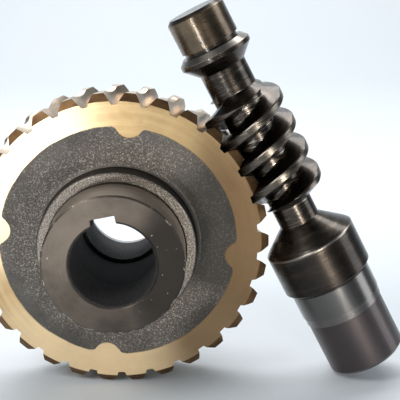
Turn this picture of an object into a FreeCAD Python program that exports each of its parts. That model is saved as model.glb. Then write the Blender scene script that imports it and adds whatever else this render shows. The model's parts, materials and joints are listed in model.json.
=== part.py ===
"""Two-start worm gear set: steel worm shaft, bronze rim cast on an iron hub, and its setting washer.

Millimetres, Z up. The origin is the centre of the wheel's bore in the middle of the rim's width.
The wheel turns about Y, and its front is the -Y side. The worm lies beside it on +X, in the XZ plane.
"""
import FreeCAD, Part
import math
import os
import Sketcher

DIMENSIONS = {
    # Gearing
    "centre_distance": 100.0,
    "axial_module": 5.4,
    "worm_starts": 2,
    "wheel_teeth": 30,
    "pressure_angle": 20.0,
    "pitch_radius_worm": 19.0,
    "flank_backlash": 0.24,
    "tip_clearance": 1.1,
    "crest_rise": 0.5,
    "worm_tilt": 27.0,
    # Bronze rim
    "rim_outer_radius": 88.4,
    "rim_half_width": 18.0,
    "rim_inner_radius": 62.0,
    "throat_radius": 13.6,
    "end_bevel_radius": 84.0,
    "end_bevel_depth": 3.3,
    # Joint between iron and bronze
    "joint_radius": 69.5,
    "lock_groove_radius": 65.0,
    "lock_groove_floor": 5.0,
    "lock_groove_mouth": 9.0,
    "lobe_count": 4,
    "lobe_radius": 8.0,
    "lobe_centre": 70.9,
    "lobe_shoulder": 3.0,
    "lobe_turn": -6.3,
    # Iron hub
    "bore_radius": 24.0,
    "bore_bevel": 1.5,
    "bore_land": 36.0,
    "relief_radius": 26.0,
    "relief_slope": 2.0,
    "hub_front": 60.0,
    "hub_rear": 60.0,
    "journal_radius": 40.0,
    "journal_length": 27.0,
    "boss_radius": 46.0,
    "boss_fillet": 3.0,
    "edge_bevel": 1.0,
    "keyway_width": 14.0,
    "keyway_depth": 3.8,
    "keyway_turn": 11.0,
    # Setting washer behind the hub
    "washer_inner_radius": 24.6,
    "washer_outer_radius": 37.0,
    "washer_thickness": 4.0,
    "washer_gap": 0.3,
    # Worm shaft, heights along its axis above the point nearest the wheel
    "thread_top": 47.0,
    "thread_bottom": -28.0,
    "thread_end_bevel": 7.0,
    "crest_bevel": 0.5,
    "root_fillet": 1.6,
    "shaft_top": 98.9,
    "top_journal_radius": 17.5,
    "top_journal_bottom": 78.3,
    "undercut_radius": 16.2,
    "top_collar_top": 75.5,
    "top_collar_bottom": 69.3,
    "top_collar_radius": 21.7,
    "top_collar_slope": 3.0,
    "top_collar_bevel": 0.6,
    "top_neck_start": 62.2,
    "top_neck_radius": 14.0,
    "low_neck_radius": 12.4,
    "low_neck_end": -40.6,
    "collar_top": -52.0,
    "collar_radius": 27.7,
    "collar_bevel": 1.9,
    "collar_bottom": -79.9,
    "grinding_relief": 1.6,
    "relief_depth": 0.5,
    "seat_radius": 25.0,
    "seat_bottom": -97.5,
    "band_radius": 24.4,
    "band_bottom": -102.6,
    "input_radius": 23.8,
    "shaft_bottom": -137.8,
    "end_bevel": 2.2,
}

# Tooth gap cutter: planes across the rim, points up each flank, and steps of the rolling thread
SECTION_PLANES = 11
FLANK_POINTS = 7
ROLL_STEPS = 150
ROLL_TRAVEL = 0.36
CONTACT_ROUNDS = 9
GAP_FLOOR_LIFT = 0.03
RIM_SIDE_OVERRUN = 0.6
TIP_OVERRUN = 1.0

# Threads: root depth in modules, spare length at each end, and depth sunk into the shaft
ROOT_DEPTH = 1.2
SWEEP_MARGIN = 9.0
THREAD_SINK = 1.5

SAME_SIZE = 0.01

doc = FreeCAD.newDocument("worm_gear_set")
sheet = doc.addObject("Spreadsheet::Sheet", "Dims")


def fill_sheet():
    """Write each driving dimension as a plain number beside its name, and give the cell that alias."""
    for row, (name, number) in enumerate(DIMENSIONS.items(), start=1):
        sheet.set(f"A{row}", name)
        sheet.set(f"B{row}", str(number))
        sheet.setAlias(f"B{row}", name)
    doc.recompute()


def amount(text):
    """Work out a sum such as "hub_front - edge_bevel" from the driving dimensions."""
    total = 0.0
    sign = 1.0
    for word in text.split():
        if word in "+-":
            sign = -1.0 if word == "-" else 1.0
            continue
        total += sign * (DIMENSIONS[word] if word in DIMENSIONS else float(word))
        sign = 1.0
    return total


def bound(text):
    """The same sum as a cell expression."""
    return " ".join("Dims." + word if word in DIMENSIONS else word for word in text.split())


def new_body(name):
    body = doc.addObject("PartDesign::Body", name)
    body.Label = name
    return body


def origin_feature(body, role):
    return next(item for item in body.Origin.OriginFeatures if item.Role == role)


def new_sketch(body, name, role, turn=None):
    """A sketch on one of the body's own planes, turned about the plane's normal if asked."""
    sketch = body.newObject("Sketcher::SketchObject", name)
    sketch.AttachmentSupport = [(origin_feature(body, role), "")]
    sketch.MapMode = "FlatFace"
    if turn:
        sketch.AttachmentOffset = FreeCAD.Placement(
            FreeCAD.Vector(), FreeCAD.Rotation(FreeCAD.Vector(0, 0, 1), DIMENSIONS[turn])
        )
        sketch.setExpression("AttachmentOffset.Rotation.Angle", bound(turn))
    return sketch


def draw_outline(sketch, corners):
    """Join the corners with lines and pin each one to the sheet, across and up from the origin."""
    points = [FreeCAD.Vector(amount(across), amount(up), 0) for across, up in corners]
    for start, end in zip(points, points[1:] + points[:1]):
        sketch.addGeometry(Part.LineSegment(start, end), False)
    count = len(points)
    for index in range(count):
        after = (index + 1) % count
        sketch.addConstraint(Sketcher.Constraint("Coincident", index, 2, after, 1))
    for index, (across, up) in enumerate(corners):
        for kind, text in (("DistanceX", across), ("DistanceY", up)):
            number = sketch.addConstraint(Sketcher.Constraint(kind, -1, 1, index, 1, amount(text)))
            sketch.setExpression(f"Constraints[{number}]", bound(text))


def revolve(body, name, sketch):
    """Turn the outline once round the sketch's upright axis."""
    feature = body.newObject("PartDesign::Revolution", name)
    feature.Profile = sketch
    feature.ReferenceAxis = (sketch, ["V_Axis"])
    feature.Angle = 360.0
    sketch.Visibility = False
    doc.recompute()
    return feature


def cut_both_ways(body, name, sketch):
    """A pocket that runs out of both ends of the hub, checked by the volume it takes."""
    before = body.Shape.Volume
    pocket = body.newObject("PartDesign::Pocket", name)
    pocket.Profile = sketch
    pocket.Type = "Length"
    pocket.Midplane = True
    pocket.setExpression("Length", "4 * Dims.hub_front")
    doc.recompute()
    if body.Shape.Volume >= before:
        raise RuntimeError(f"{name} takes nothing away")
    return pocket


def make_hub():
    """Iron casting: stepped bosses, a flat web, keyed and relieved bore, lock groove."""
    body = new_body("hub_casting")
    outline = new_sketch(body, "hub_outline", "XY_Plane")
    corners = [
        ("bore_radius", "- hub_front + bore_bevel"),
        ("bore_radius + bore_bevel", "- hub_front"),
        ("journal_radius - edge_bevel", "- hub_front"),
        ("journal_radius", "- hub_front + edge_bevel"),
        ("journal_radius", "- hub_front + journal_length"),
        ("boss_radius - edge_bevel", "- hub_front + journal_length"),
        ("boss_radius", "- hub_front + journal_length + edge_bevel"),
        ("boss_radius", "- rim_half_width"),
        ("joint_radius", "- rim_half_width"),
        ("joint_radius", "- lock_groove_mouth"),
        ("lock_groove_radius", "- lock_groove_floor"),
        ("lock_groove_radius", "lock_groove_floor"),
        ("joint_radius", "lock_groove_mouth"),
        ("joint_radius", "rim_half_width"),
        ("boss_radius", "rim_half_width"),
        ("boss_radius", "hub_rear - journal_length - edge_bevel"),
        ("boss_radius - edge_bevel", "hub_rear - journal_length"),
        ("journal_radius", "hub_rear - journal_length"),
        ("journal_radius", "hub_rear - edge_bevel"),
        ("journal_radius - edge_bevel", "hub_rear"),
        ("bore_radius + bore_bevel", "hub_rear"),
        ("bore_radius", "hub_rear - bore_bevel"),
        ("bore_radius", "hub_rear - bore_land"),
        ("relief_radius", "hub_rear - bore_land - relief_slope"),
        ("relief_radius", "- hub_front + bore_land + relief_slope"),
        ("bore_radius", "- hub_front + bore_land"),
    ]
    draw_outline(outline, corners)
    turned = revolve(body, "hub_turning", outline)
    add_boss_fillets(body, turned)
    cut_keyway(body)
    cut_lobes(body)
    return body


def add_boss_fillets(body, turned):
    """Casting fillets where each boss meets the web."""
    web_height = amount("rim_half_width")
    names = []
    for number, edge in enumerate(turned.Shape.Edges, start=1):
        curve = edge.Curve
        if not isinstance(curve, Part.Circle):
            continue
        at_boss = abs(curve.Radius - DIMENSIONS["boss_radius"]) < SAME_SIZE
        if at_boss and abs(abs(curve.Center.y) - web_height) < SAME_SIZE:
            names.append(f"Edge{number}")
    fillet = body.newObject("PartDesign::Fillet", "boss_fillets")
    fillet.Base = (turned, names)
    fillet.Radius = DIMENSIONS["boss_fillet"]
    fillet.setExpression("Radius", bound("boss_fillet"))
    doc.recompute()


def cut_keyway(body):
    """Keyway through the whole bore, leaning off the upright."""
    sketch = new_sketch(body, "keyway_outline", "XZ_Plane", "keyway_turn")
    half = DIMENSIONS["keyway_width"] / 2
    top = amount("bore_radius + keyway_depth")
    corners = [(-half, 0), (half, 0), (half, top), (-half, top)]
    points = [FreeCAD.Vector(across, up, 0) for across, up in corners]
    for start, end in zip(points, points[1:] + points[:1]):
        sketch.addGeometry(Part.LineSegment(start, end), False)
    for index in range(4):
        sketch.addConstraint(Sketcher.Constraint("Coincident", index, 2, (index + 1) % 4, 1))
    sides = [
        ("DistanceX", 0, "- Dims.keyway_width / 2", -half),
        ("DistanceY", 0, "0", 0),
        ("DistanceX", 2, "Dims.keyway_width / 2", half),
        ("DistanceY", 2, "Dims.bore_radius + Dims.keyway_depth", top),
    ]
    for index in (0, 2):
        sketch.addConstraint(Sketcher.Constraint("Horizontal", index))
        sketch.addConstraint(Sketcher.Constraint("Vertical", index + 1))
    for kind, corner, text, size in sides:
        number = sketch.addConstraint(Sketcher.Constraint(kind, -1, 1, corner, 1, size))
        if text != "0":
            sketch.setExpression(f"Constraints[{number}]", text)
    cut_both_ways(body, "keyway", sketch)


def lobe_points():
    """Ends and middles of the arcs of one locking lobe, drawn at the top of the joint circle."""
    joint = DIMENSIONS["joint_radius"]
    lobe = DIMENSIONS["lobe_radius"]
    centre = DIMENSIONS["lobe_centre"]
    shoulder = DIMENSIONS["lobe_shoulder"]
    ring = joint - shoulder
    reach = lobe + shoulder
    up = (ring**2 - reach**2 + centre**2) / (2 * centre)
    across = math.sqrt(ring**2 - up**2)
    corner_centre = FreeCAD.Vector(across, up, 0)
    lobe_centre = FreeCAD.Vector(0, centre, 0)
    outer = corner_centre * (joint / ring)
    inner = lobe_centre + (corner_centre - lobe_centre) * (lobe / reach)
    outward = (outer - corner_centre).normalize() + (inner - corner_centre).normalize()
    corner_middle = corner_centre + outward.normalize() * shoulder
    bottom = FreeCAD.Vector(0, centre - lobe, 0)
    return outer, corner_middle, inner, bottom


def cut_lobes(body):
    """Four half-round notches with eased shoulders, filled by the bronze that is cast into them."""
    sketch = new_sketch(body, "lobe_outline", "XZ_Plane", "lobe_turn")
    outer, corner_middle, inner, bottom = lobe_points()
    mirrored = [FreeCAD.Vector(-point.x, point.y, 0) for point in (outer, corner_middle, inner)]
    outer_left, middle_left, inner_left = mirrored
    above = DIMENSIONS["joint_radius"] + DIMENSIONS["lobe_shoulder"]
    top_right = FreeCAD.Vector(outer.x, above, 0)
    top_left = FreeCAD.Vector(-outer.x, above, 0)
    sketch.addGeometry(Part.Arc(outer, corner_middle, inner), False)
    sketch.addGeometry(Part.Arc(inner, bottom, inner_left), False)
    sketch.addGeometry(Part.Arc(inner_left, middle_left, outer_left), False)
    sketch.addGeometry(Part.LineSegment(outer_left, top_left), False)
    sketch.addGeometry(Part.LineSegment(top_left, top_right), False)
    sketch.addGeometry(Part.LineSegment(top_right, outer), False)
    notch = cut_both_ways(body, "lobe_notch", sketch)
    pattern = body.newObject("PartDesign::PolarPattern", "lobe_notches")
    pattern.Originals = [notch]
    pattern.Axis = (sketch, ["N_Axis"])
    pattern.Angle = 360.0
    body.Tip = pattern
    pattern.setExpression("Occurrences", bound("lobe_count"))
    doc.recompute()


def make_rim_blank():
    """Turned bronze blank with bevelled ends, still solid where the hub and the worm will be."""
    body = new_body("rim_blank")
    outline = new_sketch(body, "rim_outline", "XY_Plane")
    corners = [
        ("rim_inner_radius", "- rim_half_width"),
        ("end_bevel_radius", "- rim_half_width"),
        ("rim_outer_radius", "- rim_half_width + end_bevel_depth"),
        ("rim_outer_radius", "rim_half_width - end_bevel_depth"),
        ("end_bevel_radius", "rim_half_width"),
        ("rim_inner_radius", "rim_half_width"),
    ]
    draw_outline(outline, corners)
    revolve(body, "rim_turning", outline)
    return body


def make_throat():
    """Ring-shaped cutter that hollows the rim to fit round the worm."""
    throat = doc.addObject("Part::Torus", "throat_cutter")
    throat.setExpression("Radius1", bound("centre_distance"))
    throat.setExpression("Radius2", bound("throat_radius"))
    throat.Placement = FreeCAD.Placement(
        FreeCAD.Vector(), FreeCAD.Rotation(FreeCAD.Vector(1, 0, 0), 90)
    )
    return throat


PITCH = math.pi * DIMENSIONS["axial_module"]
LEAD = PITCH * DIMENSIONS["worm_starts"]
LEAD_PER_RADIAN = LEAD / (2 * math.pi)
FLANK_SLOPE = math.tan(math.radians(DIMENSIONS["pressure_angle"]))
WHEEL_PITCH_RADIUS = DIMENSIONS["centre_distance"] - DIMENSIONS["pitch_radius_worm"]
THREAD_TIP = DIMENSIONS["pitch_radius_worm"] + DIMENSIONS["axial_module"]
THREAD_ROOT = DIMENSIONS["pitch_radius_worm"] - ROOT_DEPTH * DIMENSIONS["axial_module"]
GAP_TIP = THREAD_TIP + DIMENSIONS["tip_clearance"]


def half_thickness(radius, allowance):
    """Half the thread's thickness along the axis at a radius, thicker by the allowance."""
    return PITCH / 4 + allowance - (radius - DIMENSIONS["pitch_radius_worm"]) * FLANK_SLOPE


def flank_place(depth, across, side):
    """Height of the widened thread's flank in the plane across, at a depth from the worm's axis."""
    radius = math.hypot(depth, across)
    twist = LEAD_PER_RADIAN * math.atan2(-across, depth)
    return twist + side * half_thickness(radius, DIMENSIONS["flank_backlash"] / 4)


def gap_angle(radius, across, side):
    """How far round the wheel the rolling thread reaches at this radius, on one side of the gap."""
    reach = None
    travel = DIMENSIONS["centre_distance"] * ROLL_TRAVEL
    for step in range(ROLL_STEPS + 1):
        shift = travel * (2 * step / ROLL_STEPS - 1)
        height = 0.0
        depth = 0.0
        for _ in range(CONTACT_ROUNDS):
            depth = DIMENSIONS["centre_distance"] - math.sqrt(radius**2 - height**2)
            height = flank_place(depth, across, side) + shift
        if math.hypot(depth, across) > GAP_TIP:
            continue
        outward = DIMENSIONS["centre_distance"] - depth
        turned = side * (math.atan2(height, outward) - shift / WHEEL_PITCH_RADIUS)
        reach = turned if reach is None else max(reach, turned)
    return side * reach


def gap_section(across):
    """Closed outline of one tooth gap in a plane square to the wheel's axis."""
    bottom = DIMENSIONS["centre_distance"] - math.sqrt(GAP_TIP**2 - across**2) + GAP_FLOOR_LIFT
    top = DIMENSIONS["rim_outer_radius"] + TIP_OVERRUN
    flanks = []
    for side in (-1, 1):
        points = []
        for index in range(FLANK_POINTS):
            radius = bottom + (top - bottom) * index / (FLANK_POINTS - 1)
            angle = gap_angle(radius, across, side)
            points.append(FreeCAD.Vector(radius * math.cos(angle), across, radius * math.sin(angle)))
        curve = Part.BSplineCurve()
        curve.interpolate(points)
        flanks.append((curve, points))
    (low_curve, low), (high_curve, high) = flanks
    high_curve.reverse()
    edges = [
        low_curve.toShape(),
        Part.LineSegment(low[-1], high[-1]).toShape(),
        high_curve.toShape(),
        Part.LineSegment(high[0], low[0]).toShape(),
    ]
    return Part.Wire(edges)


def make_gap_cutters():
    """One lofted tooth gap, repeated round the wheel."""
    reach = DIMENSIONS["rim_half_width"] + RIM_SIDE_OVERRUN
    wires = []
    for index in range(SECTION_PLANES):
        wires.append(gap_section(reach * (2 * index / (SECTION_PLANES - 1) - 1)))
    gap = Part.makeLoft(wires, True, False)
    first = DIMENSIONS["worm_tilt"] + math.degrees(DIMENSIONS["crest_rise"] / WHEEL_PITCH_RADIUS)
    cutters = []
    for tooth in range(DIMENSIONS["wheel_teeth"]):
        copy = gap.copy()
        turn = first + tooth * 360 / DIMENSIONS["wheel_teeth"]
        copy.rotate(FreeCAD.Vector(), FreeCAD.Vector(0, -1, 0), turn)
        cutters.append(copy)
    feature = doc.addObject("Part::Feature", "gap_cutters")
    feature.Shape = Part.makeCompound(cutters)
    return feature


def make_rim(hub):
    """Bronze rim: the blank less the hub it is cast on, the throat and the tooth gaps."""
    blank = make_rim_blank()
    shell = doc.addObject("Part::Cut", "rim_on_hub")
    shell.Base = blank
    shell.Tool = hub
    throated = doc.addObject("Part::Cut", "rim_with_throat")
    throated.Base = shell
    throated.Tool = make_throat()
    doc.recompute()
    rim = doc.addObject("Part::Cut", "bronze_rim")
    rim.Base = throated
    rim.Tool = make_gap_cutters()
    rim.Label = "bronze_rim"
    doc.recompute()
    return rim


def make_shaft_core():
    """Turned blank of the worm shaft, with the threads left off."""
    body = new_body("shaft_core")
    outline = new_sketch(body, "shaft_outline", "XZ_Plane")
    axis = "0"
    corners = [
        (axis, "shaft_bottom"),
        ("input_radius - end_bevel", "shaft_bottom"),
        ("input_radius", "shaft_bottom + end_bevel"),
        ("input_radius", "band_bottom"),
        ("band_radius", "band_bottom"),
        ("band_radius", "seat_bottom"),
        ("seat_radius", "seat_bottom"),
        ("seat_radius", "collar_bottom - grinding_relief"),
        ("seat_radius - relief_depth", "collar_bottom - grinding_relief"),
        ("seat_radius - relief_depth", "collar_bottom"),
        ("collar_radius - edge_bevel", "collar_bottom"),
        ("collar_radius", "collar_bottom + edge_bevel"),
        ("collar_radius", "collar_top - collar_bevel"),
        ("collar_radius - collar_bevel", "collar_top"),
        ("low_neck_radius", "low_neck_end"),
        ("low_neck_radius", "thread_bottom"),
        ("top_neck_radius", "thread_top"),
        ("top_neck_radius", "top_neck_start"),
        ("top_collar_radius - top_collar_bevel", "top_collar_bottom"),
        ("top_collar_radius", "top_collar_bottom + top_collar_bevel"),
        ("top_collar_radius", "top_collar_top - top_collar_slope"),
        ("top_collar_radius - top_collar_slope", "top_collar_top"),
        ("undercut_radius", "top_collar_top"),
        ("undercut_radius", "top_journal_bottom"),
        ("top_journal_radius", "top_journal_bottom"),
        ("top_journal_radius", "shaft_top - end_bevel"),
        ("top_journal_radius - end_bevel", "shaft_top"),
        (axis, "shaft_top"),
    ]
    draw_outline(outline, corners)
    revolve(body, "shaft_turning", outline)
    return body


def thread_outline(start_height):
    """Axial section of one thread, with broken crest edges and a fillet running out on each side."""
    crest = THREAD_TIP
    shoulder = crest - DIMENSIONS["crest_bevel"]
    fillet = DIMENSIONS["root_fillet"]
    spare = -DIMENSIONS["flank_backlash"] / 4
    slope = math.radians(DIMENSIONS["pressure_angle"])
    half_shoulder = half_thickness(shoulder, spare)
    half_crest = half_thickness(crest, spare) - DIMENSIONS["crest_bevel"]
    fillet_top = THREAD_ROOT + fillet * (1 - math.sin(slope))
    half_top = half_thickness(fillet_top, spare)
    half_bottom = half_top + fillet * math.cos(slope)
    middle = (math.pi / 2 + slope) / 2
    fillet_middle = THREAD_ROOT + fillet * (1 - math.sin(middle))
    half_middle = half_bottom - fillet * math.cos(middle)
    sunk = THREAD_ROOT - THREAD_SINK

    def place(radius, offset):
        return FreeCAD.Vector(radius, 0, start_height + offset)

    def side(sign):
        bottom = place(THREAD_ROOT, sign * half_bottom)
        halfway = place(fillet_middle, sign * half_middle)
        top = place(fillet_top, sign * half_top)
        shoulder_end = place(shoulder, sign * half_shoulder)
        crest_end = place(crest, sign * half_crest)
        return [
            Part.LineSegment(place(sunk, sign * half_bottom), bottom),
            Part.Arc(bottom, halfway, top),
            Part.LineSegment(top, shoulder_end),
            Part.LineSegment(shoulder_end, crest_end),
        ]

    crest_line = Part.LineSegment(place(crest, -half_crest), place(crest, half_crest))
    sunk_line = Part.LineSegment(place(sunk, half_bottom), place(sunk, -half_bottom))
    edges = [piece.toShape() for piece in side(-1) + [crest_line] + side(1) + [sunk_line]]
    return Part.Wire(Part.__sortEdges__(edges))


def make_threads():
    """Two right-hand threads swept along the shaft, longer than needed at both ends."""
    start = DIMENSIONS["thread_bottom"] - SWEEP_MARGIN
    length = DIMENSIONS["thread_top"] - DIMENSIONS["thread_bottom"] + 2 * SWEEP_MARGIN
    spine = Part.makeHelix(LEAD, length, THREAD_TIP)
    spine.translate(FreeCAD.Vector(0, 0, start))
    sweep = Part.BRepOffsetAPI.MakePipeShell(spine)
    sweep.setFrenetMode(True)
    sweep.add(thread_outline(start))
    sweep.build()
    sweep.makeSolid()
    threads = []
    for number in range(DIMENSIONS["worm_starts"]):
        thread = Part.Shape(sweep.shape())
        from_crest = (start - DIMENSIONS["crest_rise"]) / LEAD_PER_RADIAN
        turn = math.degrees(from_crest) + number * 360 / DIMENSIONS["worm_starts"]
        thread.rotate(FreeCAD.Vector(), FreeCAD.Vector(0, 0, 1), turn)
        threads.append(thread)
    feature = doc.addObject("Part::Feature", "long_threads")
    feature.Shape = Part.makeCompound(threads)
    return feature


def make_thread_envelope():
    """Round bar with bevelled ends that the threads are trimmed to."""
    body = new_body("thread_envelope")
    outline = new_sketch(body, "envelope_outline", "XZ_Plane")
    tip = f"pitch_radius_worm + axial_module + {TIP_OVERRUN}"
    corners = [
        ("0", "thread_bottom"),
        ("low_neck_radius", "thread_bottom"),
        (tip, "thread_bottom + thread_end_bevel"),
        (tip, "thread_top - thread_end_bevel"),
        ("top_neck_radius", "thread_top"),
        ("0", "thread_top"),
    ]
    draw_outline(outline, corners)
    revolve(body, "envelope_turning", outline)
    return body


def make_worm():
    """Worm shaft in one piece, laid beside the wheel and leaning with it in mesh."""
    trimmed = doc.addObject("Part::Common", "trimmed_threads")
    trimmed.Base = make_threads()
    trimmed.Tool = make_thread_envelope()
    worm = doc.addObject("Part::Fuse", "worm_shaft")
    worm.Base = make_shaft_core()
    worm.Tool = trimmed
    worm.Label = "worm_shaft"
    tilt = math.radians(DIMENSIONS["worm_tilt"])
    outward = FreeCAD.Vector(math.cos(tilt), 0, math.sin(tilt))
    up = FreeCAD.Vector(-math.sin(tilt), 0, math.cos(tilt))
    lay = FreeCAD.Rotation(-outward, FreeCAD.Vector(0, -1, 0), up, "ZXY")
    worm.Placement = FreeCAD.Placement(outward * DIMENSIONS["centre_distance"], lay)
    doc.recompute()
    return worm


def make_washer():
    """Flat setting washer that stands just clear of the hub's rear end."""
    body = new_body("setting_washer")
    outline = new_sketch(body, "washer_outline", "XY_Plane")
    near = "hub_rear + washer_gap"
    far = "hub_rear + washer_gap + washer_thickness"
    corners = [
        ("washer_inner_radius", near),
        ("washer_outer_radius - edge_bevel", near),
        ("washer_outer_radius", near + " + edge_bevel"),
        ("washer_outer_radius", far + " - edge_bevel"),
        ("washer_outer_radius - edge_bevel", far),
        ("washer_inner_radius", far),
    ]
    draw_outline(outline, corners)
    revolve(body, "washer_turning", outline)
    return body


def write_parts(pieces):
    """Check every object of the document, then write each piece to its own file."""
    for item in doc.Objects:
        if "Invalid" in item.State or "Error" in item.State:
            raise RuntimeError(f"{item.Name} is not valid: {item.State}")
    os.makedirs("parts", exist_ok=True)
    for piece in pieces:
        shape = piece.Shape
        if shape.isNull() or not shape.isValid():
            raise RuntimeError(f"{piece.Label} has no valid shape")
        shape.exportStep(os.path.join("parts", f"{piece.Label}.step"))
        solids = len(shape.Solids)
        print(f"{piece.Label}: {shape.Volume / 1000:.1f} cm3, {solids} solid, {len(shape.Faces)} faces")


fill_sheet()
hub_casting = make_hub()
bronze_rim = make_rim(hub_casting)
worm_shaft = make_worm()
setting_washer = make_washer()
write_parts([worm_shaft, hub_casting, bronze_rim, setting_washer])
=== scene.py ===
"""Looks of the worm gear set: materials, floor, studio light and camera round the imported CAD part."""
import bpy
import json
import math
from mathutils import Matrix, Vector


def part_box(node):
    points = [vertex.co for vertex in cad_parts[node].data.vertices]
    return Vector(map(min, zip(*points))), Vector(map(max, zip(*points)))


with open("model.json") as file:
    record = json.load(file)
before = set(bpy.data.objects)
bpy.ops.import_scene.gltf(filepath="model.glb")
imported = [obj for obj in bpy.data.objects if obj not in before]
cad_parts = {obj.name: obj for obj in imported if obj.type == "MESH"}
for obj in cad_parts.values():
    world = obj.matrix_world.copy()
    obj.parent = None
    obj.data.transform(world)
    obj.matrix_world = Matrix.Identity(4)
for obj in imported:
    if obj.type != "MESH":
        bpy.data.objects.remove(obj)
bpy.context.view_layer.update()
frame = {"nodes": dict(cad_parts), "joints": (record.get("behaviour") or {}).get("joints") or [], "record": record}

# Driving sizes, in metres, read from the frame
RIM_LOW, RIM_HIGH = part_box("bronze_rim")
RIM_FRONT = RIM_HIGH.y
WORM_JOINT = next(joint for joint in frame["joints"] if joint["name"] == "worm_spin")
WORM_FOOT = Vector(WORM_JOINT["pos_m"])
WORM_UP = Vector(WORM_JOINT["axis"])
WORM_OUT = WORM_FOOT.normalized()
MOUNTS = {mount["name"]: mount for mount in frame["record"]["mounts"]}

# Joint between bronze and iron, in metres, and how far its four lobes are turned
JOINT_RADIUS = 0.0695
LOBE_CENTRE = 0.0709
LOBE_RADIUS = 0.008
LOBE_TURN = math.radians(-6.3)

# Camera: its height angle, distance from the rim's front and place beside the rim's centre
CAMERA_RISE = math.radians(15.2)
CAMERA_DISTANCE = 0.624
CAMERA_ASIDE = 0.048
CAMERA_ABOVE = 0.0252
CAMERA_LENS = 95.9
SENSOR_WIDTH = 36.0
NEAREST_SEEN = 0.01

# Wheel, in metres: sizes that bound its differently finished faces
END_BEVEL_START = (0.0825, 0.0838)
BORE_WALL = (0.0268, 0.0264)
BORE_MOUTH = (0.0597, 0.0591)
RELIEF_WALL = (0.0252, 0.0256)

# Worm, in metres along its axis: ends of the threads and the edge of its large collar
THREAD_SPAN = (-0.028, 0.047)
COLLAR_EDGE = (-0.0545, -0.0536)
TOP_BEVEL = (0.0724, 0.0758)

# Floor, in metres: where it curves up, how sharply, and its half width and height
FLOOR_GAP = 0.0002
FLOOR_BACK = 1.1
FLOOR_FRONT = -2.4
FLOOR_BEND = 0.5
FLOOR_HALF_WIDTH = 4.0
FLOOR_HEIGHT = 1.8
FLOOR_ARC_STEPS = 16

# World light
WORLD_COLOUR = (0.86, 0.93, 1.0, 1.0)
WORLD_STRENGTH = 0.17


class Graph:
    """One material's node tree, with short calls for the nodes that the metals share."""

    def __init__(self, name):
        self.material = bpy.data.materials.new(name)
        self.material.use_nodes = True
        self.nodes = self.material.node_tree.nodes
        self.links = self.material.node_tree.links
        self.nodes.clear()
        self.shader = self.nodes.new("ShaderNodeBsdfPrincipled")
        output = self.nodes.new("ShaderNodeOutputMaterial")
        self.links.new(self.shader.outputs["BSDF"], output.inputs["Surface"])
        self.place = self.nodes.new("ShaderNodeTexCoord")

    def feed(self, socket, source):
        if isinstance(source, bpy.types.NodeSocket):
            self.links.new(source, socket)
        else:
            socket.default_value = source

    def maths(self, operation, first, second=0.0, clamp=False):
        node = self.nodes.new("ShaderNodeMath")
        node.operation = operation
        node.use_clamp = clamp
        self.feed(node.inputs[0], first)
        self.feed(node.inputs[1], second)
        return node.outputs[0]

    def distance(self, first, second):
        """Length of the hypotenuse over two sides."""
        first_square = self.maths("MULTIPLY", first, first)
        second_square = self.maths("MULTIPLY", second, second)
        return self.maths("SQRT", self.maths("ADD", first_square, second_square))

    def dot(self, vector, direction):
        node = self.nodes.new("ShaderNodeVectorMath")
        node.operation = "DOT_PRODUCT"
        self.feed(node.inputs[0], vector)
        node.inputs[1].default_value = direction
        return node.outputs["Value"]

    def split(self, vector):
        node = self.nodes.new("ShaderNodeSeparateXYZ")
        self.feed(node.inputs[0], vector)
        return node.outputs

    def join(self, x, y, z):
        node = self.nodes.new("ShaderNodeCombineXYZ")
        for socket, source in zip(node.inputs, (x, y, z)):
            self.feed(socket, source)
        return node.outputs[0]

    def noise(self, vector, scale=1.0, detail=2.0, rough=0.5):
        node = self.nodes.new("ShaderNodeTexNoise")
        self.feed(node.inputs["Vector"], vector)
        node.inputs["Scale"].default_value = scale
        node.inputs["Detail"].default_value = detail
        node.inputs["Roughness"].default_value = rough
        return node.outputs["Fac"]

    def grains(self, vector, scale):
        node = self.nodes.new("ShaderNodeTexVoronoi")
        self.feed(node.inputs["Vector"], vector)
        node.inputs["Scale"].default_value = scale
        return node.outputs["Distance"]

    def step(self, value, low, high, out_low=0.0, out_high=1.0):
        """Smooth step of value from low to high, giving out_low to out_high."""
        node = self.nodes.new("ShaderNodeMapRange")
        node.interpolation_type = "SMOOTHSTEP"
        sources = (value, low, high, out_low, out_high)
        for socket, source in zip(node.inputs, sources):
            self.feed(socket, source)
        return node.outputs[0]

    def between(self, value, low, high, soft):
        """1 where value lies between low and high, with soft edges."""
        rising = self.step(value, low - soft, low)
        falling = self.step(value, high, high + soft, 1.0, 0.0)
        return self.maths("MULTIPLY", rising, falling)

    def blend(self, share, first, second):
        """Colour from first to second as share goes from 0 to 1."""
        node = self.nodes.new("ShaderNodeMix")
        node.data_type = "RGBA"
        colours = [socket for socket in node.inputs if socket.type == "RGBA"]
        self.feed(node.inputs[0], share)
        for socket, source in zip(colours, (first, second)):
            self.feed(socket, source if isinstance(source, bpy.types.NodeSocket) else (*source, 1.0))
        return next(socket for socket in node.outputs if socket.type == "RGBA")

    def mix(self, share, first, second):
        """Number from first to second as share goes from 0 to 1."""
        node = self.nodes.new("ShaderNodeMix")
        node.data_type = "FLOAT"
        for socket, source in zip(node.inputs[:1] + node.inputs[2:4], (share, first, second)):
            self.feed(socket, source)
        return node.outputs[0]

    def bump(self, height, depth, normal=None):
        """Bump of the given depth in metres."""
        node = self.nodes.new("ShaderNodeBump")
        node.inputs["Strength"].default_value = 1.0
        self.feed(node.inputs["Distance"], depth)
        self.feed(node.inputs["Height"], height)
        if normal is not None:
            self.feed(node.inputs["Normal"], normal)
        return node.outputs[0]

    def finish(self, colour, roughness, normal, **constants):
        self.feed(self.shader.inputs["Base Color"], colour)
        self.feed(self.shader.inputs["Roughness"], roughness)
        self.feed(self.shader.inputs["Normal"], normal)
        for name, source in constants.items():
            self.feed(self.shader.inputs[name.replace("_", " ").title()], source)
        return self.material


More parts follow.
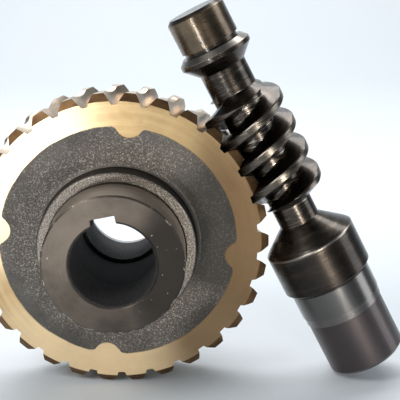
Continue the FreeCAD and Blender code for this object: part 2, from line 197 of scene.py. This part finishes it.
def wheel_places(graph):
    """Distance from the wheel's axis, place along it, and a seamless vector for turned rings."""
    across, along, up = graph.split(graph.place.outputs["Object"])
    radius = graph.distance(across, up)
    side = graph.maths("DIVIDE", across, radius)
    top = graph.maths("DIVIDE", up, radius)
    return radius, along, side, top


def rings(graph, radius, along, side, top, per_metre, wobble):
    """Fine turned marks: noise drawn out round the axis."""
    outward = graph.maths("MULTIPLY", radius, per_metre)
    spread = graph.maths("ADD", outward, graph.maths("MULTIPLY", along, per_metre))
    vector = graph.join(spread, graph.maths("MULTIPLY", side, wobble), graph.maths("MULTIPLY", top, wobble))
    return graph.noise(vector, 1.0, 3.0, 0.65)


def painted_side_shade(graph, side, top, most):
    """Painted shade: darkening over the side of the wheel next to the worm, with a noisy edge."""
    edge = graph.noise(graph.place.outputs["Object"], 16.0, 3.0, 0.55)
    reach = graph.maths("SUBTRACT", side, graph.maths("MULTIPLY", top, 0.20))
    reach = graph.maths("ADD", reach, graph.maths("MULTIPLY", edge, 0.5))
    return graph.step(reach, 0.50, 1.05, 0.0, most)


def joint_line(graph, radius):
    """Thin dirty seam along the joint of bronze and iron, round the four lobes as well."""
    across, _, up = graph.split(graph.place.outputs["Object"])
    cosine, sine = math.cos(LOBE_TURN), math.sin(LOBE_TURN)
    first = graph.maths("ADD", graph.maths("MULTIPLY", across, cosine), graph.maths("MULTIPLY", up, sine))
    second = graph.maths("MULTIPLY", up, cosine)
    second = graph.maths("SUBTRACT", second, graph.maths("MULTIPLY", across, sine))
    first = graph.maths("ABSOLUTE", first)
    second = graph.maths("ABSOLUTE", second)
    longer = graph.maths("SUBTRACT", graph.maths("MAXIMUM", first, second), LOBE_CENTRE)
    shorter = graph.maths("MINIMUM", first, second)
    lobe = graph.distance(longer, shorter)
    round_lobe = graph.step(lobe, LOBE_RADIUS - 0.0007, LOBE_RADIUS - 0.0002)
    round_lobe = graph.maths("MULTIPLY", round_lobe, graph.step(radius, 0.0672, 0.0664))
    round_joint = graph.step(radius, JOINT_RADIUS + 0.0006, JOINT_RADIUS + 0.0001)
    clear = graph.step(lobe, LOBE_RADIUS + 0.0024, LOBE_RADIUS + 0.0034)
    seam = graph.maths("MAXIMUM", round_lobe, graph.maths("MULTIPLY", round_joint, clear))
    broken = graph.step(graph.noise(graph.place.outputs["Object"], 70.0, 3.0, 0.6), 0.38, 0.58, 0.15, 0.85)
    return graph.maths("MULTIPLY", seam, broken)


def make_bronze():
    """Turned golden faces, brown end bevels and pale hobbed tooth flanks."""
    graph = Graph("bronze_turned")
    radius, along, side, top = wheel_places(graph)
    facing = graph.maths("ABSOLUTE", graph.split(graph.place.outputs["Normal"])[1])
    on_face = graph.step(facing, 0.93, 0.97)
    slanted = graph.between(facing, 0.62, 0.92, 0.04)
    on_bevel = graph.maths("MULTIPLY", slanted, graph.step(radius, *END_BEVEL_START))
    marks = rings(graph, radius, along, side, top, 1500, 2.0)
    coarse = rings(graph, radius, along, side, top, 420, 1.2)
    patches = graph.noise(graph.place.outputs["Object"], 26.0, 4.0, 0.6)
    stains = graph.noise(graph.place.outputs["Object"], 90.0, 5.0, 0.65)
    gold = graph.blend(graph.step(patches, 0.36, 0.66), (0.50, 0.350, 0.172), (0.37, 0.240, 0.115))
    gold = graph.blend(graph.step(coarse, 0.35, 0.7, 0.0, 0.45), gold, (0.62, 0.46, 0.25))
    gold = graph.blend(graph.step(stains, 0.58, 0.75, 0.0, 0.35), gold, (0.30, 0.17, 0.075))
    flank = graph.blend(graph.step(stains, 0.35, 0.65), (0.60, 0.505, 0.405), (0.44, 0.345, 0.255))
    brown = graph.blend(graph.step(stains, 0.35, 0.7), (0.20, 0.115, 0.055), (0.105, 0.060, 0.030))
    # painted highlight: gold painted paler towards the bottom and the upper left, broken by patches
    upper_left = graph.maths("MULTIPLY", top, 0.5)
    upper_left = graph.maths("SUBTRACT", upper_left, graph.maths("MULTIPLY", side, 0.8))
    painted_highlight = graph.maths("MAXIMUM", graph.step(top, -0.35, -0.85), graph.step(upper_left, 0.45, 0.85))
    painted_highlight = graph.maths("MULTIPLY", painted_highlight, graph.mix(patches, 0.95, 0.55))
    gold = graph.blend(painted_highlight, gold, (0.90, 0.71, 0.45))
    # painted shade: the gold is darkened over the side next to the worm
    gold = graph.blend(painted_side_shade(graph, side, top, 0.88), gold, (0.135, 0.084, 0.046))
    gold = graph.blend(joint_line(graph, radius), gold, (0.10, 0.065, 0.035))
    colour = graph.blend(on_face, flank, gold)
    colour = graph.blend(on_bevel, colour, brown)
    rough = graph.mix(marks, 0.26, 0.42)
    rough = graph.mix(graph.step(top, -0.45, -0.85, 0.0, 0.9), rough, 0.58)
    rough = graph.mix(on_bevel, rough, 0.5)
    grain = graph.noise(graph.place.outputs["Object"], 900.0, 3.0, 0.6)
    height = graph.maths("ADD", graph.maths("MULTIPLY", marks, on_face), graph.maths("MULTIPLY", grain, 0.35))
    normal = graph.bump(height, 0.00006)
    return graph.finish(colour, rough, normal, metallic=1.0)


def make_iron():
    """Grey iron: turned boss, journals painted paler as a painted highlight, rough cast web, and painted shade in
    the corner, in the bore, over the side next to the worm and towards the bottom.
    """
    graph = Graph("iron_cast")
    radius, along, side, top = wheel_places(graph)
    place = graph.place.outputs["Object"]
    depth = graph.maths("ABSOLUTE", along)
    on_web = graph.maths("MULTIPLY", graph.step(depth, 0.0230, 0.0190), graph.step(radius, 0.0462, 0.0470))
    worn = graph.step(graph.noise(place, 13.0, 2.0, 0.5), 0.40, 0.60)
    outer = graph.step(radius, 0.052, 0.068)
    smooth_web = graph.maths("MULTIPLY", outer, graph.mix(worn, 0.35, 0.95))
    rubbed_side = graph.maths("MULTIPLY", graph.step(side, 0.35, 0.80), graph.step(top, -0.75, -0.35))
    smooth_web = graph.maths("MAXIMUM", smooth_web, graph.maths("MULTIPLY", rubbed_side, 0.85))
    cast = graph.maths("MULTIPLY", on_web, graph.maths("SUBTRACT", 1.0, smooth_web))
    in_bore = graph.maths("MULTIPLY", graph.step(radius, *BORE_WALL), graph.step(depth, *BORE_MOUTH))
    in_relief = graph.maths("MULTIPLY", in_bore, graph.step(radius, *RELIEF_WALL))
    # painted shade in the corner between the boss's base and the web
    corner_painted_shade = graph.between(depth, 0.0205, 0.0322, 0.0012)
    corner_painted_shade = graph.maths("MULTIPLY", corner_painted_shade, graph.step(radius, 0.0454, 0.0459))
    ledge = graph.between(depth, 0.0315, 0.0345, 0.0004)
    ledge = graph.maths("MULTIPLY", ledge, graph.step(radius, 0.0402, 0.0408))
    marks = rings(graph, radius, along, side, top, 1300, 2.5)
    patches = graph.noise(place, 30.0, 4.0, 0.6)
    grain = graph.grains(place, 900.0)
    fine = graph.noise(place, 1300.0, 3.0, 0.7)
    sand = graph.noise(place, 480.0, 4.0, 0.7)
    turned = graph.blend(graph.step(patches, 0.35, 0.68), (0.150, 0.124, 0.100), (0.082, 0.068, 0.056))
    turned = graph.blend(graph.step(marks, 0.55, 0.8, 0.0, 0.4), turned, (0.25, 0.215, 0.18))
    rough_iron = graph.blend(graph.step(fine, 0.50, 0.70), (0.150, 0.132, 0.115), (0.62, 0.56, 0.48))
    rough_iron = graph.blend(graph.step(patches, 0.4, 0.7, 0.0, 0.5), rough_iron, (0.075, 0.070, 0.065))
    web = graph.blend(graph.step(patches, 0.35, 0.7), (0.125, 0.118, 0.108), (0.088, 0.084, 0.078))
    # painted shade over the side next to the worm and towards the bottom, on the turned boss and the web
    painted_shade = graph.maths("MAXIMUM", painted_side_shade(graph, side, top, 0.9), graph.step(top, -0.40, -0.90, 0.0, 0.35))
    turned = graph.blend(painted_shade, turned, (0.030, 0.027, 0.024))
    web = graph.blend(painted_shade, web, (0.034, 0.033, 0.030))
    colour = graph.blend(on_web, turned, graph.blend(cast, web, rough_iron))
    bright_ledge = graph.blend(graph.step(fine, 0.45, 0.65), (0.20, 0.175, 0.15), (0.60, 0.54, 0.47))
    colour = graph.blend(graph.maths("MULTIPLY", ledge, 0.85), colour, bright_ledge)
    # painted shade: near-black in the corner round the boss's base
    colour = graph.blend(graph.maths("MULTIPLY", corner_painted_shade, 0.85), colour, (0.022, 0.018, 0.016))
    # painted shade: the bore is painted near black with a few grey specks, darkest in the relief; its metallic is
    # lowered below to keep it dark
    bore_painted_shade = graph.blend(graph.step(fine, 0.52, 0.68), (0.016, 0.015, 0.015), (0.09, 0.083, 0.075))
    colour = graph.blend(in_bore, colour, bore_painted_shade)
    colour = graph.blend(in_relief, colour, (0.009, 0.009, 0.009))
    # painted highlight: the boss's journal cylinder is painted paler all round to stand for the light on its top
    journal = graph.between(depth, 0.0350, 0.0585, 0.0005)
    journal = graph.maths("MULTIPLY", journal, graph.between(radius, 0.0394, 0.0406, 0.0004))
    journal_finish_and_highlight = graph.blend(graph.step(marks, 0.35, 0.7), (0.27, 0.235, 0.20), (0.40, 0.35, 0.30))
    colour = graph.blend(graph.maths("MULTIPLY", journal, 0.85), colour, journal_finish_and_highlight)
    rim_edge = graph.maths("MULTIPLY", graph.step(radius, 0.0388, 0.0394), graph.step(depth, 0.0588, 0.0592))
    nicks = graph.maths("MULTIPLY", rim_edge, graph.step(graph.noise(place, 260.0, 3.0, 0.7), 0.56, 0.66))
    specks = graph.step(graph.noise(place, 380.0, 2.0, 0.5), 0.715, 0.755, 0.0, 0.6)
    on_turned = graph.maths("SUBTRACT", 1.0, graph.maths("MAXIMUM", on_web, in_bore))
    nicks = graph.maths("MAXIMUM", nicks, graph.maths("MULTIPLY", specks, on_turned))
    colour = graph.blend(nicks, colour, (0.55, 0.50, 0.45))
    rough = graph.mix(marks, 0.34, 0.52)
    rough = graph.mix(on_web, rough, graph.mix(sand, 0.44, 0.60))
    rough = graph.mix(in_bore, rough, 0.8)
    metal = graph.maths("SUBTRACT", 1.0, graph.maths("MULTIPLY", in_bore, 0.85))
    cast_height = graph.maths("ADD", graph.maths("MULTIPLY", grain, 0.5), sand)
    turned_height = graph.maths("MULTIPLY", marks, 0.09)
    turned_height = graph.maths("ADD", turned_height, graph.maths("MULTIPLY", fine, 0.02))
    unturned = graph.maths("MAXIMUM", cast, graph.maths("MULTIPLY", ledge, 0.5))
    height = graph.mix(unturned, turned_height, cast_height)
    normal = graph.bump(height, 0.0006)
    return graph.finish(colour, rough, normal, metallic=metal)


def worm_places(graph):
    """Height along the worm's axis above its foot, distance from that axis, and the way round it."""
    place = graph.place.outputs["Object"]
    height = graph.dot(place, WORM_UP)
    outward = graph.maths("SUBTRACT", graph.dot(place, WORM_OUT), WORM_FOOT.length)
    across = graph.split(place)[1]
    radius = graph.distance(outward, across)
    return height, radius, graph.maths("DIVIDE", outward, radius), graph.maths("DIVIDE", across, radius)


def seat_span(name):
    """Heights of the two ends of a round mount along the worm's axis."""
    mount = MOUNTS[name]
    middle = Vector(mount["pos_m"]).dot(WORM_UP)
    half = mount["dims"]["length_mm"] / 2000
    return middle - half, middle + half


def make_steel():
    """Dark oiled steel with turned marks, a polished journal, a bright ground seat and a satin end."""
    graph = Graph("steel_dark")
    height, radius, side, across = worm_places(graph)
    place = graph.place.outputs["Object"]
    journal = graph.between(height, *seat_span("worm_top_journal"), 0.0012)
    seat_low, seat_high = seat_span("worm_low_seat")
    seat = graph.between(height, seat_low, seat_high, 0.0004)
    _, input_high = seat_span("worm_input_end")
    input_end = graph.step(height, input_high + 0.0003, input_high)
    band = graph.between(height, input_high, seat_low, 0.0004)
    spread = graph.maths("MULTIPLY", graph.maths("ADD", height, radius), 1400)
    vector = graph.join(spread, graph.maths("MULTIPLY", side, 1.6), graph.maths("MULTIPLY", across, 1.6))
    marks = graph.noise(vector, 1.0, 3.0, 0.7)
    broad_spread = graph.maths("MULTIPLY", height, 330)
    broad = graph.noise(graph.join(broad_spread, side, across), 1.0, 2.0, 0.6)
    patches = graph.noise(place, 34.0, 4.0, 0.6)
    specks = graph.step(graph.noise(place, 620.0, 4.0, 0.75), 0.62, 0.74)
    oiled = graph.blend(graph.step(patches, 0.35, 0.7), (0.030, 0.025, 0.021), (0.062, 0.050, 0.040))
    oiled = graph.blend(graph.step(broad, 0.45, 0.75, 0.0, 0.5), oiled, (0.12, 0.095, 0.075))
    lines_spread = graph.maths("MULTIPLY", height, 2300)
    lines = graph.noise(graph.join(lines_spread, side, across), 1.0, 2.0, 0.5)
    root_lines = graph.maths("MULTIPLY", graph.step(lines, 0.58, 0.66), graph.step(radius, 0.0152, 0.0145))
    threaded = graph.between(height, *THREAD_SPAN, 0.001)
    root_lines = graph.maths("MULTIPLY", root_lines, graph.mix(threaded, 0.22, 1.0))
    oiled = graph.blend(root_lines, oiled, (0.50, 0.45, 0.38))
    crest = graph.step(radius, 0.0236, 0.0240, 0.0, 0.75)
    crest = graph.maths("MULTIPLY", crest, threaded)
    crest_skin = graph.blend(graph.step(lines, 0.45, 0.7), (0.085, 0.073, 0.060), (0.26, 0.23, 0.19))
    oiled = graph.blend(crest, oiled, crest_skin)
    collar_edge = graph.between(height, *COLLAR_EDGE, 0.0004)
    bevel = graph.between(height, *TOP_BEVEL, 0.0002)
    bevel = graph.maths("MULTIPLY", bevel, graph.step(radius, 0.0180, 0.0184))
    worn_edge = graph.maths("MAXIMUM", collar_edge, bevel)
    worn_edge = graph.maths("MULTIPLY", worn_edge, graph.step(patches, 0.30, 0.50, 0.35, 0.9))
    oiled = graph.blend(worn_edge, oiled, (0.30, 0.27, 0.235))
    speckled = graph.maths("MULTIPLY", specks, graph.step(height, -0.050, -0.056, 0.0, 0.6))
    oiled = graph.blend(speckled, oiled, (0.30, 0.22, 0.13))
    # painted shade: darker below the large collar's edge, in the undercut under it
    oiled = graph.blend(graph.step(height, -0.054, -0.057, 0.0, 0.55), oiled, (0.020, 0.016, 0.014))
    journal_finish_and_highlight = graph.blend(graph.step(patches, 0.35, 0.65), (0.165, 0.122, 0.080), (0.070, 0.054, 0.039))
    colour = graph.blend(journal, oiled, journal_finish_and_highlight)
    colour = graph.blend(seat, colour, (0.135, 0.129, 0.124))
    colour = graph.blend(band, colour, (0.150, 0.142, 0.138))
    colour = graph.blend(input_end, colour, (0.078, 0.066, 0.066))
    rough = graph.mix(marks, 0.20, 0.38)
    rough = graph.mix(seat, rough, graph.mix(marks, 0.16, 0.30))
    rough = graph.mix(input_end, rough, graph.mix(marks, 0.34, 0.46))
    grain = graph.noise(place, 1300.0, 3.0, 0.6)
    relief = graph.maths("ADD", graph.maths("MULTIPLY", marks, 0.6), graph.maths("MULTIPLY", grain, 0.4))
    normal = graph.bump(relief, 0.00007)
    return graph.finish(colour, rough, normal, metallic=1.0, coat_weight=0.25, coat_roughness=0.12)


def make_plain_steel():
    """Ground steel of the setting washer."""
    graph = Graph("steel_ground")
    radius, along, side, top = wheel_places(graph)
    marks = rings(graph, radius, along, side, top, 1500, 2.0)
    patches = graph.noise(graph.place.outputs["Object"], 60.0, 4.0, 0.6)
    colour = graph.blend(graph.step(patches, 0.35, 0.7), (0.46, 0.45, 0.44), (0.34, 0.33, 0.32))
    return graph.finish(colour, graph.mix(marks, 0.28, 0.42), graph.bump(marks, 0.00004), metallic=1.0)


def make_floor_material():
    """Pale floor, very slightly uneven."""
    graph = Graph("floor_pale")
    shade = graph.noise(graph.place.outputs["Object"], 3.0, 2.0, 0.5)
    colour = graph.blend(shade, (0.66, 0.715, 0.755), (0.71, 0.745, 0.775))
    return graph.finish(colour, 0.55, graph.bump(shade, 0.0001))


def dress(node, material):
    """Give a CAD node its finish."""
    slots = frame["nodes"][node].material_slots
    for slot in slots:
        slot.material = material
    if not slots:
        frame["nodes"][node].data.materials.append(material)


def make_floor():
    """Floor that curves up into a backdrop behind and in front of the object."""
    floor_height = RIM_LOW.z - FLOOR_GAP
    back, front, bend = FLOOR_BACK, FLOOR_FRONT, FLOOR_BEND
    arc = [math.radians(90 * step / FLOOR_ARC_STEPS) for step in range(FLOOR_ARC_STEPS + 1)]
    profile = [(front - bend, FLOOR_HEIGHT)]
    profile += [(front - bend * math.sin(angle), bend * (1 - math.cos(angle))) for angle in reversed(arc)]
    profile += [(back + bend * math.sin(angle), bend * (1 - math.cos(angle))) for angle in arc]
    profile.append((back + bend, FLOOR_HEIGHT))
    vertices = []
    for across in (-FLOOR_HALF_WIDTH, FLOOR_HALF_WIDTH):
        vertices += [(across, along, floor_height + up) for along, up in profile]
    count = len(profile)
    faces = [(i, i + 1, count + i + 1, count + i) for i in range(count - 1)]
    mesh = bpy.data.meshes.new("floor")
    mesh.from_pydata(vertices, [], faces)
    mesh.shade_smooth()
    mesh.materials.append(make_floor_material())
    floor = bpy.data.objects.new("floor", mesh)
    bpy.context.scene.collection.objects.link(floor)


def add_area_light(name, place, aim, size, power, colour=(1, 1, 1), spread=180):
    """Rectangular lamp aimed at a point, unseen by the camera, its light spreading so many degrees."""
    light = bpy.data.lights.new(name, "AREA")
    light.shape = "RECTANGLE"
    light.size, light.size_y = size
    light.energy = power
    light.spread = math.radians(spread)
    light.color = colour
    lamp = bpy.data.objects.new(name, light)
    bpy.context.scene.collection.objects.link(lamp)
    lamp.visible_camera = False
    lamp.location = place
    lamp.rotation_euler = (Vector(aim) - Vector(place)).to_track_quat("-Z", "Y").to_euler()


def make_lights():
    """Soft key, fills from the side and above, two narrow front lamps, and a wash on the backdrop."""
    middle = (0.03, 0.0, 0.0)
    warm = (1.0, 0.94, 0.86)
    cool = (0.97, 0.98, 1.0)
    add_area_light("key", (-0.50, -0.50, 0.62), middle, (0.42, 0.42), 4.6)
    add_area_light("front_strip", (0.25, -0.46, -0.015), (0.12, 0.0, 0.0), (0.07, 0.13), 0.235, warm, 90)
    add_area_light("low_glow", (-0.16, -0.64, -0.062), (-0.05, 0.0, 0.06), (0.06, 0.04), 0.062, cool, 50)
    add_area_light("side_fill", (0.95, -0.05, 0.30), middle, (0.4, 0.8), 1.35, (0.93, 0.96, 1.0), 120)
    add_area_light("top_glow", (-0.10, 0.50, 0.62), (0.0, -0.04, 0.0), (0.5, 0.3), 1.8)
    add_area_light("back_wash", (0.0, 0.65, 1.2), (0.0, 1.2, -0.1), (1.8, 0.6), 23.0)
    world = bpy.data.worlds.new("studio")
    bpy.context.scene.world = world
    world.use_nodes = True
    background = world.node_tree.nodes["Background"]
    background.inputs["Color"].default_value = WORLD_COLOUR
    background.inputs["Strength"].default_value = WORLD_STRENGTH


def make_camera():
    """Camera in front, above the wheel's axis, beside the rim's centre."""
    camera = bpy.data.cameras.new("camera")
    camera.lens = CAMERA_LENS
    camera.sensor_width = SENSOR_WIDTH
    camera.clip_start = NEAREST_SEEN
    holder = bpy.data.objects.new("camera", camera)
    bpy.context.scene.collection.objects.link(holder)
    back = Vector((0.0, -math.cos(CAMERA_RISE), math.sin(CAMERA_RISE)))
    up = Vector((0.0, math.sin(CAMERA_RISE), math.cos(CAMERA_RISE)))
    aim = Vector((CAMERA_ASIDE, -RIM_FRONT, 0.0)) + up * CAMERA_ABOVE
    holder.location = aim + back * CAMERA_DISTANCE
    holder.rotation_euler = (math.pi / 2 - CAMERA_RISE, 0.0, 0.0)
    bpy.context.scene.camera = holder


dress("bronze_rim", make_bronze())
dress("hub_casting", make_iron())
dress("worm_shaft", make_steel())
dress("setting_washer", make_plain_steel())
make_floor()
make_lights()
make_camera()
bpy.context.scene.view_settings.view_transform = "Standard"
